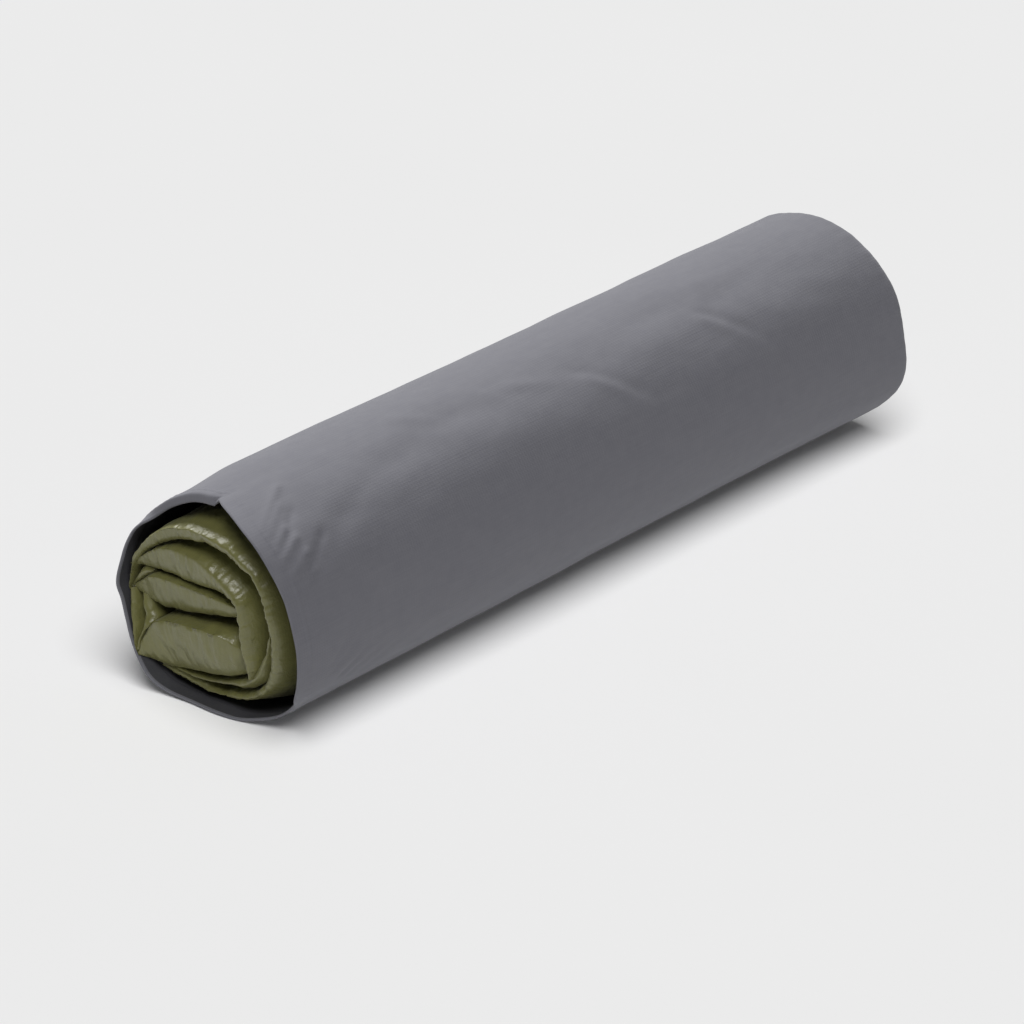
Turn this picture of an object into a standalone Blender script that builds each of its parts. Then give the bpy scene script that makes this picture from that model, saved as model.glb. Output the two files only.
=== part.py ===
"""A camp quilt, folded and rolled, in its open-ended cloth stuff sack.

The roll lies along X with the sack's open mouth at -X and its sewn base at +X.
The sack's flat underside lies on z = 0, and the origin is the middle of that underside.
"""
import math

import bpy

# ---- driving dimensions, in metres -------------------------------------------------------
SACK_LENGTH = 0.594
SACK_HALF_WIDTH = 0.079      # the sack sags a little wider than it is tall
SACK_RADIUS = 0.075          # radius of the upper arc, before the underside is flattened
FLAT_HALF_WIDTH = 0.027      # half the width of the strip that rests on the ground
CLOTH = 0.0008               # sack cloth, drawn thicker than its real 0.15 mm
GAP = 0.0003                 # air between pieces that touch

MOUTH_SCALE = 0.98           # the hem draws the mouth in slightly
MOUTH_TAPER = 0.060          # length over which the sack narrows to its mouth
HEM_WIDTH = 0.022
HEM_OPENING = 2              # outline facets left open where the hem's two ends meet
TOP_DIP = 0.014              # how far the mouth's upper edge is set back
FLOOR_DIP = 0.008            # how far the mouth's lower edge is set back
BASE_ROUNDING = 0.005        # how far the sack draws in at the base seam
BASE_DOME = 0.008            # how far the base panel bulges past that seam
SEAM_THICKNESS = 0.0010
BINDING_WIDTH = 0.0083
BINDING_THICKNESS = 0.0020

ARC_POINTS = 36              # points around the sack's outline
SEAM_FACET = 2               # outline facet that carries the side seam, low on the +Y side

QUILT_RECESS = 0.008         # from the sack's foremost edge to the quilt's folded end
QUILT_FAR_GAP = 0.0185       # from the quilt's far end to the sack's rearmost point
QUILT_CENTRE_Z = 0.068
SHEET = 0.0005               # quilt fabric, drawn thicker than its real 0.1 mm
FOLD_DEPTH = 0.010           # how deep the rounded folded edge is at the mouth
STATIONS_PER_TURN = 18
FIRST_RAY = -1               # the strip's outer end, in stations from straight down
LAST_RAY = 77                # the strip's inner end, at the core

# Radii of the spiral line between turns, in millimetres, every 45 degrees. Each row is one
# turn from straight down, by the -Y side and the top to the +Y side. The strip lies between
# this line and the same line one turn further in, so its thickness follows from the table.
TURN_RADII_MM = [
    [64.5, 69.0, 73.0, 70.5, 70.0, 70.5, 73.0, 69.0],
    [57.0, 55.0, 51.5, 55.0, 50.0, 57.0, 64.0, 62.0],
    [49.5, 47.5, 44.5, 47.0, 42.5, 48.5, 55.5, 54.0],
    [40.0, 34.0, 26.0, 27.0, 20.0, 28.0, 42.0, 41.0],
    [27.0, 19.0, 11.0, 9.0, 6.5, 8.0, 14.0, 17.0],
    [9.0, 5.0, 3.0, 3.0, 3.0, 3.0, 3.5, 4.0],
]

OLIVE = (0.150, 0.158, 0.083)
OLIVE_LINING = (0.120, 0.128, 0.070)
WADDING = (0.78, 0.77, 0.73)
GREY = (0.105, 0.105, 0.115)
DARK_GREY = (0.040, 0.040, 0.045)


def clear_scene():
    for obj in list(bpy.data.objects):
        bpy.data.objects.remove(obj, do_unlink=True)


def make_material(name, colour, roughness):
    material = bpy.data.materials.new(name)
    material.use_nodes = True
    shader = material.node_tree.nodes["Principled BSDF"]
    shader.inputs["Base Color"].default_value = (*colour, 1.0)
    shader.inputs["Roughness"].default_value = roughness
    shader.inputs["Metallic"].default_value = 0.0
    return material


def add_piece(name, vertices, faces, material):
    mesh = bpy.data.meshes.new(name)
    mesh.from_pydata(vertices, [], faces)
    mesh.validate()
    mesh.materials.append(material)
    mesh.shade_smooth()
    mesh.set_sharp_from_angle(angle=math.radians(35))
    obj = bpy.data.objects.new(name, mesh)
    bpy.context.collection.objects.link(obj)
    return obj


# ---- the sack's outline and stations -----------------------------------------------------
ARC_CENTRE_Z = math.sqrt(SACK_RADIUS ** 2 - FLAT_HALF_WIDTH ** 2)
FLAT_ANGLE = math.asin(ARC_CENTRE_Z / SACK_RADIUS)
ANGLES = [-FLAT_ANGLE + (math.pi + 2.0 * FLAT_ANGLE) * i / (ARC_POINTS - 1)
          for i in range(ARC_POINTS)]
HALF = SACK_LENGTH / 2.0
REAR_EDGE = HALF - BASE_DOME
QUILT_MOUTH_END = -HALF + QUILT_RECESS
QUILT_FAR_END = HALF - QUILT_FAR_GAP

# Each station of the sack: x, scale of the outline, share of the mouth's dip, inset.
SACK_STATIONS = [
    (-HALF, MOUTH_SCALE, 1.0, 0.0),
    (-HALF + HEM_WIDTH, MOUTH_SCALE + 0.005, 1.0, 0.0),
    (-HALF + MOUTH_TAPER, 1.0, 0.0, 0.0),
    (0.0, 1.0, 0.0, 0.0),
    (HALF - 0.030, 1.0, 0.0, 0.0),
    (HALF - 0.014, 1.0, 0.0, 0.0012),
    (REAR_EDGE, 1.0, 0.0, BASE_ROUNDING),
]


def station_at(x):
    """The sack's station at x, between the two listed stations beside it."""
    for first, last in zip(SACK_STATIONS, SACK_STATIONS[1:]):
        if first[0] <= x <= last[0]:
            share = (x - first[0]) / (last[0] - first[0])
            return tuple(a + (b - a) * share for a, b in zip(first, last))
    raise ValueError("x lies outside the sack")


def outline(scale, inset):
    """Outline points (y, z), drawn in by inset at right angles to every side."""
    points = [(SACK_HALF_WIDTH * math.cos(a) * scale * side_fit(a),
               (ARC_CENTRE_Z + SACK_RADIUS * math.sin(a)) * scale) for a in ANGLES]
    count = len(points)
    drawn_in = []
    for i, (y, z) in enumerate(points):
        before = points[i - 1]
        after = points[(i + 1) % count]
        n1 = inward_normal(before, (y, z))
        n2 = inward_normal((y, z), after)
        share = inset / (1.0 + n1[0] * n2[0] + n1[1] * n2[1])
        drawn_in.append((y + (n1[0] + n2[0]) * share, z + (n1[1] + n2[1]) * share))
    return drawn_in


def side_fit(angle):
    """Keeps the flat's corners at FLAT_HALF_WIDTH while the sides reach SACK_HALF_WIDTH."""
    low = max(0.0, -math.sin(angle)) ** 2
    return 1.0 + (SACK_RADIUS / SACK_HALF_WIDTH - 1.0) * low


def inward_normal(start, end):
    dy = end[0] - start[0]
    dz = end[1] - start[1]
    length = math.hypot(dy, dz)
    return (-dz / length, dy / length)


def mouth_dip(angle):
    upper = max(0.0, math.sin(angle)) ** 4
    lower = max(0.0, -math.sin(angle)) ** 4
    return TOP_DIP * upper + FLOOR_DIP * lower


def ring(x, inset):
    """The sack's outline at x, drawn in by inset, as points in space."""
    x, scale, dip_share, station_inset = station_at(x)
    flat = outline(scale, station_inset + inset)
    return [(x + dip_share * mouth_dip(a), y, z) for a, (y, z) in zip(ANGLES, flat)]


def layer(name, xs, inset, thickness, material, columns=None):
    """A sheet that follows the sack's skin: all round, or over the given outline columns."""
    closed = columns is None
    columns = list(range(ARC_POINTS)) if closed else columns
    width = len(columns)
    vertices = []
    for depth in (inset, inset + thickness):
        for x in xs:
            points = ring(x, depth)
            vertices += [points[c] for c in columns]
    rows = len(xs)
    inner = rows * width
    faces = []
    spans = width if closed else width - 1
    for r in range(rows - 1):
        for c in range(spans):
            a = r * width + c
            b = r * width + (c + 1) % width
            faces.append((a, b, b + width, a + width))
            faces.append((inner + a, inner + a + width, inner + b + width, inner + b))
    for c in range(spans):
        a = c
        b = (c + 1) % width
        faces.append((b, a, inner + a, inner + b))
        a += (rows - 1) * width
        b += (rows - 1) * width
        faces.append((a, b, inner + b, inner + a))
    if not closed:
        for r in range(rows - 1):
            a = r * width
            faces.append((a, a + width, inner + a + width, inner + a))
            a += width - 1
            faces.append((a + width, a, inner + a, inner + a + width))
    return add_piece(name, vertices, faces, material)


# ---- the sack's pieces -------------------------------------------------------------------
def make_sack(cloth, lining):
    seam_inset = CLOTH + GAP
    layer("sack_tube", [s[0] for s in SACK_STATIONS], 0.0, CLOTH, cloth)

    hem_columns = list(range(SEAM_FACET + HEM_OPENING, ARC_POINTS))
    hem_columns += list(range(SEAM_FACET))
    layer("sack_mouth_hem", [-HALF, -HALF + HEM_WIDTH], seam_inset, CLOTH, cloth, hem_columns)

    seam_xs = [-HALF + HEM_WIDTH + GAP, -HALF + MOUTH_TAPER, 0.0, HALF - 0.030, HALF - 0.016]
    seam_columns = [SEAM_FACET, SEAM_FACET + 1]
    layer("sack_side_seam", seam_xs, seam_inset, SEAM_THICKNESS, cloth, seam_columns)

    make_base_panel(cloth)
    make_base_binding(lining)


def make_base_panel(cloth):
    """The round base: a cloth disc that the packed quilt pushes out into a low dome."""
    edge = outline(1.0, BASE_ROUNDING + CLOTH + GAP)
    centre_z = ARC_CENTRE_Z
    steps = [1.0, 0.82, 0.55, 0.25]
    vertices = []
    for front in (0.0, -CLOTH):
        for share in steps:
            x = HALF - BASE_DOME * share ** 3 + front
            vertices += [(x, y * share, centre_z + (z - centre_z) * share) for y, z in edge]
        vertices.append((HALF + front, 0.0, centre_z))
    count = ARC_POINTS
    shell = len(steps) * count + 1
    faces = []
    for c in range(count):
        d = (c + 1) % count
        for s in range(len(steps) - 1):
            a = s * count
            faces.append((a + c, a + d, a + count + d, a + count + c))
            b = shell + a
            faces.append((b + c, b + count + c, b + count + d, b + d))
        last = (len(steps) - 1) * count
        faces.append((last + c, last + d, shell - 1))
        faces.append((shell + last + d, shell + last + c, 2 * shell - 1))
        faces.append((c, shell + c, shell + d, d))
    return add_piece("sack_base_panel", vertices, faces, cloth)


def make_base_binding(lining):
    """Tape folded over the raw edges of the base seam, inside the sack."""
    rear = REAR_EDGE - CLOTH - 0.0004
    front = rear - BINDING_WIDTH
    outer = outline(1.0, BASE_ROUNDING + CLOTH + 3 * GAP)
    inner = outline(1.0, BASE_ROUNDING + CLOTH + 3 * GAP + BINDING_THICKNESS)
    loops = [(front, outer), (rear, outer), (rear, inner), (front, inner)]
    vertices = [(x, y, z) for x, loop in loops for y, z in loop]
    faces = []
    for k in range(4):
        for c in range(ARC_POINTS):
            d = (c + 1) % ARC_POINTS
            a = k * ARC_POINTS
            b = ((k + 1) % 4) * ARC_POINTS
            faces.append((a + c, a + d, b + d, b + c))
    return add_piece("sack_base_binding", vertices, faces, lining)


# ---- the rolled quilt --------------------------------------------------------------------
def turn_radius(ray):
    """Radius of the line between turns at a ray, counted in stations from straight down."""
    eighths = ray * 8.0 / STATIONS_PER_TURN
    radii = [r for row in TURN_RADII_MM for r in row]
    low = math.floor(eighths)
    t = eighths - low
    p = [radii[min(max(low + k, 0), len(radii) - 1)] for k in (-1, 0, 1, 2)]
    if low < 0:
        p = [radii[(low + k) % 8] for k in (-1, 0, 1, 2)]
    curve = (2 * p[1] + (p[2] - p[0]) * t + (2 * p[0] - 5 * p[1] + 4 * p[2] - p[3]) * t * t
             + (3 * p[1] - p[0] - 3 * p[2] + p[3]) * t ** 3)
    return curve / 2000.0


def fold_loop(thickness, inset, sheet):
    """A U-shaped profile of a folded sheet, as (x, depth below the outer face) points.

    inset is its distance inside the strip's faces, and sheet its own thickness.
    """
    middle = thickness / 2.0
    points = []
    for side, wall in ((1, inset), (-1, inset + sheet)):
        half = middle - wall
        reach = max(FOLD_DEPTH - wall, half * 0.5)
        arm = QUILT_MOUTH_END + FOLD_DEPTH
        arc = []
        for k in range(5):
            a = math.pi * (k - 2) / 4.0
            arc.append((arm - reach * math.cos(a), middle + half * math.sin(a)))
        arc = [(QUILT_FAR_END, middle - half)] + arc + [(QUILT_FAR_END, middle + half)]
        points += arc if side > 0 else arc[::-1]
    return points


def lining_loop(thickness):
    """Two lining plies face to face in the middle of the strip, joined at the fold."""
    middle = thickness / 2.0
    turn_x = QUILT_MOUTH_END + FOLD_DEPTH
    far_x = QUILT_FAR_END
    near = GAP / 2.0
    far = near + SHEET
    return [
        (far_x, middle - far), (turn_x, middle - far),
        (turn_x, middle + far), (far_x, middle + far),
        (far_x, middle + near), (turn_x + SHEET, middle + near),
        (turn_x + SHEET, middle - near), (far_x, middle - near),
    ]


def sweep_strip(name, profile_of, material):
    """Sweeps a folded sheet along the spiral, from the strip's outer end to the core."""
    vertices = []
    for ray in range(FIRST_RAY, LAST_RAY + 1):
        angle = 2.0 * math.pi * ray / STATIONS_PER_TURN
        outer = turn_radius(ray) - GAP / 2.0
        inner = turn_radius(ray + STATIONS_PER_TURN) + GAP / 2.0
        profile = profile_of(outer - inner)
        for x, depth in profile:
            r = outer - depth
            vertices.append((x, -math.sin(angle) * r, QUILT_CENTRE_Z - math.cos(angle) * r))
    width = len(profile)
    last = LAST_RAY - FIRST_RAY
    faces = [tuple(range(width)), tuple(last * width + k for k in range(width))[::-1]]
    for s in range(last):
        for k in range(width):
            a = s * width + k
            b = s * width + (k + 1) % width
            # Both walls of a gap are cut along the same diagonal, so that it stays open.
            if k < width // 2:
                faces += [(a, a + width, b + width), (a, b + width, b)]
            else:
                faces += [(a, a + width, b), (b, a + width, b + width)]
    return add_piece(name, vertices, faces, material)


def make_quilt(shell, wadding, lining):
    fill_inset = SHEET + 2.0 * GAP
    lining_room = SHEET + 2.0 * GAP

    def shell_loop(thickness):
        return fold_loop(thickness, 0.0, SHEET)

    def fill_loop(thickness):
        wall = thickness / 2.0 - fill_inset - lining_room
        return fold_loop(thickness, fill_inset, wall)

    sweep_strip("quilt_shell", shell_loop, shell)
    sweep_strip("quilt_fill", fill_loop, wadding)
    sweep_strip("quilt_lining", lining_loop, lining)


def main():
    clear_scene()
    cloth = make_material("grey_woven_polyester", GREY, 0.80)
    tape = make_material("dark_grey_seam_tape", DARK_GREY, 0.75)
    shell = make_material("olive_nylon", OLIVE, 0.42)
    wadding = make_material("white_polyester_wadding", WADDING, 0.95)
    lining = make_material("olive_nylon_lining", OLIVE_LINING, 0.50)
    make_sack(cloth, tape)
    make_quilt(shell, wadding, lining)


main()
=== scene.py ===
"""Looks of a camp quilt, folded and rolled, in its open-ended cloth stuff sack.

The roll lies along X with the open mouth at -X and the sewn base at +X, on z = 0.
Section points are (y, z) pairs. Lists of them are in millimetres, everything else in metres.
"""

import math

import bmesh
import bpy
import numpy as np
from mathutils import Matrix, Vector, noise


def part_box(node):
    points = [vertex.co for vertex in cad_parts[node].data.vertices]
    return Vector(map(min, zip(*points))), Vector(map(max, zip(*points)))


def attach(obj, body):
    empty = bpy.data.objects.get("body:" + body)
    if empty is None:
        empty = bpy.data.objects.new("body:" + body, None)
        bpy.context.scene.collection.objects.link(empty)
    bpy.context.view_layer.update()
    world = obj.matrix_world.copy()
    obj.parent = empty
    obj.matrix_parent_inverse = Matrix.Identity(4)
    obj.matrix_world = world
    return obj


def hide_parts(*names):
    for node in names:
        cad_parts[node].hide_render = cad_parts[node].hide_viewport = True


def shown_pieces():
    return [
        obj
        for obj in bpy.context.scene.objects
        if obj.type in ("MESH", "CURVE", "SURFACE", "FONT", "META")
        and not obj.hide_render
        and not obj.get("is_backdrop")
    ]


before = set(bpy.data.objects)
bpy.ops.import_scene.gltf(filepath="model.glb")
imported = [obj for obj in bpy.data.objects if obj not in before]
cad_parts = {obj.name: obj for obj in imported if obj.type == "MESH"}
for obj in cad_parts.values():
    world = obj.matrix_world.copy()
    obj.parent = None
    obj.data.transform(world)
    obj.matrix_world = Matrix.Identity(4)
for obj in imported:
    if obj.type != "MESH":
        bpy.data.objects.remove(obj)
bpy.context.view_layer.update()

MM = 0.001

# ---- the sack, from its CAD boxes ---------------------------------------------------------
TUBE_LOW, TUBE_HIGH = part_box("sack_tube")
MOUTH_X = TUBE_LOW.x
END_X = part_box("sack_base_panel")[1].x - 0.5 * MM    # its seam is pushed out almost to the dome
SACK_LENGTH = END_X - MOUTH_X
HALF_WIDTH = TUBE_HIGH.y
ARC_RADIUS = 75 * MM             # radius of the upper arc
ARC_CENTRE_Z = TUBE_HIGH.z - ARC_RADIUS
FLAT_HALF_WIDTH = 27 * MM        # half the strip that rests on the floor
CENTRE_Z = 68 * MM               # the middle of the rolled quilt

CLOTH = 0.7 * MM                 # drawn thicker than the real 0.15 mm
HEM_WIDTH = 13 * MM              # width of the turned hem
HEM_STITCHES = 11 * MM           # rim to the raised stitch line of the hem
PAINTED_SHADE_FROM = 2.6 * MM           # rim to where the turned hem's face is drawn dark as painted shade
RIM_ROUND = 0.8 * MM             # radius of the turned rim
RIM_REACH = 75 * MM              # how far behind the rim its slack shape fades out
SACK_COLUMNS = 240
SEAM_ANGLE = math.radians(-46)   # side seam, low on the +Y side
BASE_PUCKER = 9 * MM             # pitch of the puckers round the base seam
PLAY = 2.2 * MM                  # kept free between the quilt and the sack

# The slack rim as (x, y, z), round from the upper corner by the +Y side and the floor.
RIM_MM = [
    (-279, 4, 142), (-280, 22, 139.3), (-281, 40, 130.5), (-282, 54, 120), (-284, 66, 108),
    (-288, 73, 95), (-292, 76, 82), (-296, 77.5, 66), (-296, 73.5, 55), (-296, 70, 41),
    (-297, 65, 29), (-299, 57, 19), (-298, 48, 8.5), (-295, 37, 2.5), (-292, 19, 0.3),
    (-291, -2, 0.3), (-287, -20, 0.4), (-281, -42, 8), (-279, -57, 20.5), (-288, -68.5, 33),
    (-292, -75.5, 49), (-294.5, -78.5, 68), (-296, -77.5, 82), (-296.5, -74.5, 94.5),
    (-296, -67.7, 108.5), (-295.5, -52, 126.5), (-293, -33.5, 138), (-285, -9, 143),
]

# ---- small tools ---------------------------------------------------------------------------


def smooth(t):
    """Eases from 0 to 1 as t goes from 0 to 1."""
    t = np.clip(t, 0.0, 1.0)
    return t * t * (3.0 - 2.0 * t)


def spline(points, count, closed=False):
    """count points evenly spaced along a smooth curve through the given points."""
    p = np.array(points, float)
    if closed:
        p = np.vstack([p[-1], p, p[0], p[1]])
    else:
        p = np.vstack([2 * p[0] - p[1], p, 2 * p[-1] - p[-2]])
    fine = []
    for a, b, c, d in zip(p, p[1:], p[2:], p[3:]):
        t = np.linspace(0.0, 1.0, 24, endpoint=False)[:, None]
        fine.append(0.5 * (2 * b + (c - a) * t + (2 * a - 5 * b + 4 * c - d) * t * t
                           + (3 * b - a - 3 * c + d) * t ** 3))
    fine = np.vstack(fine + [p[-2][None, :]])
    run = np.r_[0.0, np.cumsum(np.linalg.norm(np.diff(fine, axis=0), axis=1))]
    at = np.linspace(0.0, run[-1], count, endpoint=not closed)
    return np.stack([np.interp(at, run, fine[:, k]) for k in range(p.shape[1])], axis=1)


def surface_normals(grid, closed_columns):
    """Unit normals of a grid of points, shape (rows, columns, 3)."""
    along = np.gradient(grid, axis=0)
    if closed_columns:
        around = np.roll(grid, -1, axis=1) - np.roll(grid, 1, axis=1)
    else:
        around = np.gradient(grid, axis=1)
    n = np.cross(along, around)
    return n / np.maximum(np.linalg.norm(n, axis=2, keepdims=True), 1e-12)


def roughness_field(points, size, seed, octaves=3):
    """Smooth noise from -1 to 1 at each point, with lumps about size metres across."""
    shift = Vector((seed * 7.31, seed * 3.17, seed * 5.53))
    flat = np.asarray(points, float).reshape(-1, 3) / size
    out = np.array([noise.fractal(Vector(p) + shift, 0.9, 2.0, octaves) for p in flat])
    return out.reshape(np.asarray(points).shape[:-1])


def add_piece(name, vertices, faces, uvs=None):
    """A smooth-shaded mesh piece, with its cloth's own UV metres if they are given."""
    mesh = bpy.data.meshes.new(name)
    mesh.from_pydata([tuple(v) for v in vertices], [], faces)
    mesh.validate()
    if uvs is not None:
        layer = mesh.uv_layers.new(name="cloth")
        corner = np.zeros(len(mesh.loops), np.int32)
        mesh.loops.foreach_get("vertex_index", corner)
        layer.data.foreach_set("uv", np.asarray(uvs, float)[corner].ravel())
    mesh.shade_smooth()
    obj = bpy.data.objects.new(name, mesh)
    bpy.context.collection.objects.link(obj)
    return obj


def grid_faces(rows, columns, closed_rows=False, closed_columns=False, start=0):
    """The quads of a grid of vertices whose first one is number start."""
    faces = []
    for r in range(rows if closed_rows else rows - 1):
        for c in range(columns if closed_columns else columns - 1):
            a = start + r * columns + c
            b = start + r * columns + (c + 1) % columns
            r2 = (r + 1) % rows
            faces.append((a, b, start + r2 * columns + (c + 1) % columns, start + r2 * columns + c))
    return faces


# ---- materials -----------------------------------------------------------------------------


def linear(code):
    """An sRGB hex colour as linear RGBA."""
    out = []
    for k in (1, 3, 5):
        v = int(code[k:k + 2], 16) / 255.0
        out.append(v / 12.92 if v <= 0.04045 else ((v + 0.055) / 1.055) ** 2.4)
    return (*out, 1.0)


def add_node(tree, kind, inputs=None, **settings):
    """Adds a node; an input that is a socket is linked, any other is set."""
    made = tree.nodes.new(kind)
    for key, value in settings.items():
        setattr(made, key, value)
    for key, value in (inputs or {}).items():
        if isinstance(value, bpy.types.NodeSocket):
            tree.links.new(value, made.inputs[key])
        else:
            made.inputs[key].default_value = value
    return made


def new_material(name, **shader_inputs):
    """A node material; a shader input's spaces are written as underscores."""
    material = bpy.data.materials.new(name)
    material.use_nodes = True
    tree = material.node_tree
    shader = tree.nodes["Principled BSDF"]
    for key, value in shader_inputs.items():
        shader.inputs[key.replace("_", " ")].default_value = value
    return material, tree, shader


WAVE_PERIOD = 0.314    # metres from band to band of a wave texture at scale 1


def woven_finish(tree, shader, colours, pitch, weave_depth, mottle, slub_share):
    """Plain weave in the cloth's own UV metres, with slubs and slow mottling of its dye."""
    uv = add_node(tree, "ShaderNodeUVMap", uv_map="cloth").outputs["UV"]
    place = add_node(tree, "ShaderNodeTexCoord").outputs["Object"]
    waves = []
    for direction in ("X", "Y"):
        wave = add_node(tree, "ShaderNodeTexWave",
                        {"Vector": uv, "Scale": WAVE_PERIOD / pitch / 2.0, "Distortion": 0.6,
                         "Detail": 1.0, "Detail Scale": 2.0},
                        wave_type="BANDS", bands_direction=direction, wave_profile="SIN")
        waves.append(wave.outputs["Fac"])
    weave = add_node(tree, "ShaderNodeMath", {0: waves[0], 1: waves[1]}, operation="MULTIPLY")
    stretch = add_node(tree, "ShaderNodeMapping", {"Vector": uv, "Scale": (18.0, 900.0, 1.0)})
    slubs = add_node(tree, "ShaderNodeTexNoise",
                     {"Vector": stretch.outputs["Vector"], "Scale": 1.0, "Detail": 3.0})
    cloud = add_node(tree, "ShaderNodeTexNoise",
                     {"Vector": place, "Scale": 1.0 / mottle, "Detail": 5.0, "Roughness": 0.65})
    blend = add_node(tree, "ShaderNodeMath",
                     {0: slubs.outputs["Fac"], 1: slub_share, 2: cloud.outputs["Fac"]},
                     operation="MULTIPLY_ADD")
    middle = (1.0 + slub_share) / 2.0
    tone = add_node(tree, "ShaderNodeMapRange",
                    {"Value": blend.outputs["Value"], "From Min": middle - 0.35,
                     "From Max": middle + 0.35})
    colour = add_node(tree, "ShaderNodeMix",
                      {"Factor": tone.outputs["Result"], "A": linear(colours[0]),
                       "B": linear(colours[1])}, data_type="RGBA")
    tree.links.new(colour.outputs["Result"], shader.inputs["Base Color"])
    height = add_node(tree, "ShaderNodeMath",
                      {0: slubs.outputs["Fac"], 1: 0.6, 2: weave.outputs["Value"]},
                      operation="MULTIPLY_ADD")
    bump = add_node(tree, "ShaderNodeBump",
                    {"Height": height.outputs["Value"], "Distance": weave_depth, "Strength": 0.6})
    tree.links.new(bump.outputs["Normal"], shader.inputs["Normal"])
    return bump


def make_sack_cloth():
    """Woven polyester, brushed matt: an even charcoal grey with a faint thread texture."""
    material, tree, shader = new_material(
        "woven_polyester_grey", Roughness=0.85, Sheen_Weight=0.12, Sheen_Roughness=0.5)
    shader.inputs["Specular IOR Level"].default_value = 0.3
    # Real threads lie 0.25 mm apart; they are drawn 1.1 mm apart so that they show.
    woven_finish(tree, shader, ("#6B6B72", "#727278"), 1.1 * MM, 0.09 * MM, 9 * MM, 0.8)
    return material


def make_coating_and_painted_shade():
    """The cloth's inner side: a dull dark polyurethane coating hiding its threads; its darkness is
    partly painted shade.
    """
    material, tree, shader = new_material("dark_coating_and_painted_shade", Roughness=0.7)
    woven_finish(tree, shader, ("#343438", "#404044"), 1.1 * MM, 0.05 * MM, 14 * MM, 0.4)
    return material


def make_seam_tape():
    """Woven polyester grosgrain tape: darker, with a visible rib."""
    material, tree, shader = new_material(
        "polyester_grosgrain_tape", Roughness=0.8, Sheen_Weight=0.1)
    # Real ribs lie 0.6 mm apart; they are drawn 1.0 mm apart.
    woven_finish(tree, shader, ("#36363B", "#434349"), 1.0 * MM, 0.2 * MM, 6 * MM, 0.5)
    return material


def nylon_finish(name, colours, roughness, crinkle):
    """Thin calendered nylon taffeta: satin highlights broken up by small crinkles."""
    material, tree, shader = new_material(name, Roughness=roughness, Sheen_Weight=0.08)
    shader.inputs["Specular IOR Level"].default_value = 0.6
    # Real threads lie 0.15 mm apart; they are drawn 0.8 mm apart.
    bump = woven_finish(tree, shader, colours, 0.8 * MM, 0.05 * MM, 12 * MM, 0.4)
    place = add_node(tree, "ShaderNodeTexCoord").outputs["Object"]
    creases = add_node(tree, "ShaderNodeTexNoise",
                       {"Vector": place, "Scale": 1.0 / (7 * MM), "Detail": 4.0,
                        "Roughness": 0.6, "Distortion": 1.2})
    second = add_node(tree, "ShaderNodeBump",
                      {"Height": creases.outputs["Fac"], "Distance": crinkle, "Strength": 1.0,
                       "Normal": bump.outputs["Normal"]})
    tree.links.new(second.outputs["Normal"], shader.inputs["Normal"])
    return material


def make_wadding():
    """Polyester wadding: matt white matted fibre."""
    material, tree, shader = new_material("polyester_wadding", Roughness=0.95)
    place = add_node(tree, "ShaderNodeTexCoord").outputs["Object"]
    fibre = add_node(tree, "ShaderNodeTexNoise",
                     {"Vector": place, "Scale": 400.0, "Detail": 6.0, "Distortion": 2.0})
    tone = add_node(tree, "ShaderNodeMix",
                    {"Factor": fibre.outputs["Fac"], "A": linear("#D9D6CC"),
                     "B": linear("#F2F0EA")}, data_type="RGBA")
    tree.links.new(tone.outputs["Result"], shader.inputs["Base Color"])
    bump = add_node(tree, "ShaderNodeBump",
                    {"Height": fibre.outputs["Fac"], "Distance": 1.0 * MM})
    tree.links.new(bump.outputs["Normal"], shader.inputs["Normal"])
    return material


SACK_CLOTH = make_sack_cloth()
DARK_COATING_AND_PAINTED_SHADE = make_coating_and_painted_shade()
SEAM_TAPE = make_seam_tape()
QUILT_NYLON = nylon_finish("nylon_taffeta_olive", ("#69683C", "#747344"), 0.33, 0.45 * MM)
QUILT_LINING = nylon_finish("nylon_lining_olive", ("#77765A", "#838265"), 0.50, 0.3 * MM)
WADDING = make_wadding()


def finish(obj, material, slot, body, *nodes):
    """Gives a piece its material, the body it rides on and the nodes it replaces; slot is not used.
    """
    obj.data.materials.append(material)
    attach(obj, body)
    if nodes:
        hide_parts(*nodes)
    return obj


# ---- the sack ------------------------------------------------------------------------------


def sack_outline():
    """The filled sack's section: points (y, z), their run along the cloth, polar angles."""
    low = math.asin(ARC_CENTRE_Z / ARC_RADIUS)
    a = np.linspace(-low, math.pi + low, 400)
    side = 1.0 + (ARC_RADIUS / HALF_WIDTH - 1.0) * np.maximum(0.0, -np.sin(a)) ** 2
    y = HALF_WIDTH * np.cos(a) * side
    z = ARC_CENTRE_Z + ARC_RADIUS * np.sin(a)
    flat = np.linspace(-FLAT_HALF_WIDTH, FLAT_HALF_WIDTH, 60)[1:-1]
    y = np.r_[y, flat]
    z = np.r_[z, np.zeros(len(flat))]
    turn = int(np.argmin(np.abs(np.arctan2(z - CENTRE_Z, y) - SEAM_ANGLE)))
    dense = np.roll(np.stack([y, z], axis=1), -turn, axis=0)
    closed = np.vstack([dense, dense[:1]])
    run = np.r_[0.0, np.cumsum(np.linalg.norm(np.diff(closed, axis=0), axis=1))]
    at = np.linspace(0.0, run[-1], SACK_COLUMNS, endpoint=False)
    even = np.stack([np.interp(at, run, closed[:, k]) for k in (0, 1)], axis=1)
    for _ in range(3):
        even = 0.5 * even + 0.25 * (np.roll(even, 1, axis=0) + np.roll(even, -1, axis=0))
    return even, at, np.arctan2(even[:, 1] - CENTRE_Z, even[:, 0]), run[-1]


OUTLINE, RUN, POLAR, GIRTH = sack_outline()


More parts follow.
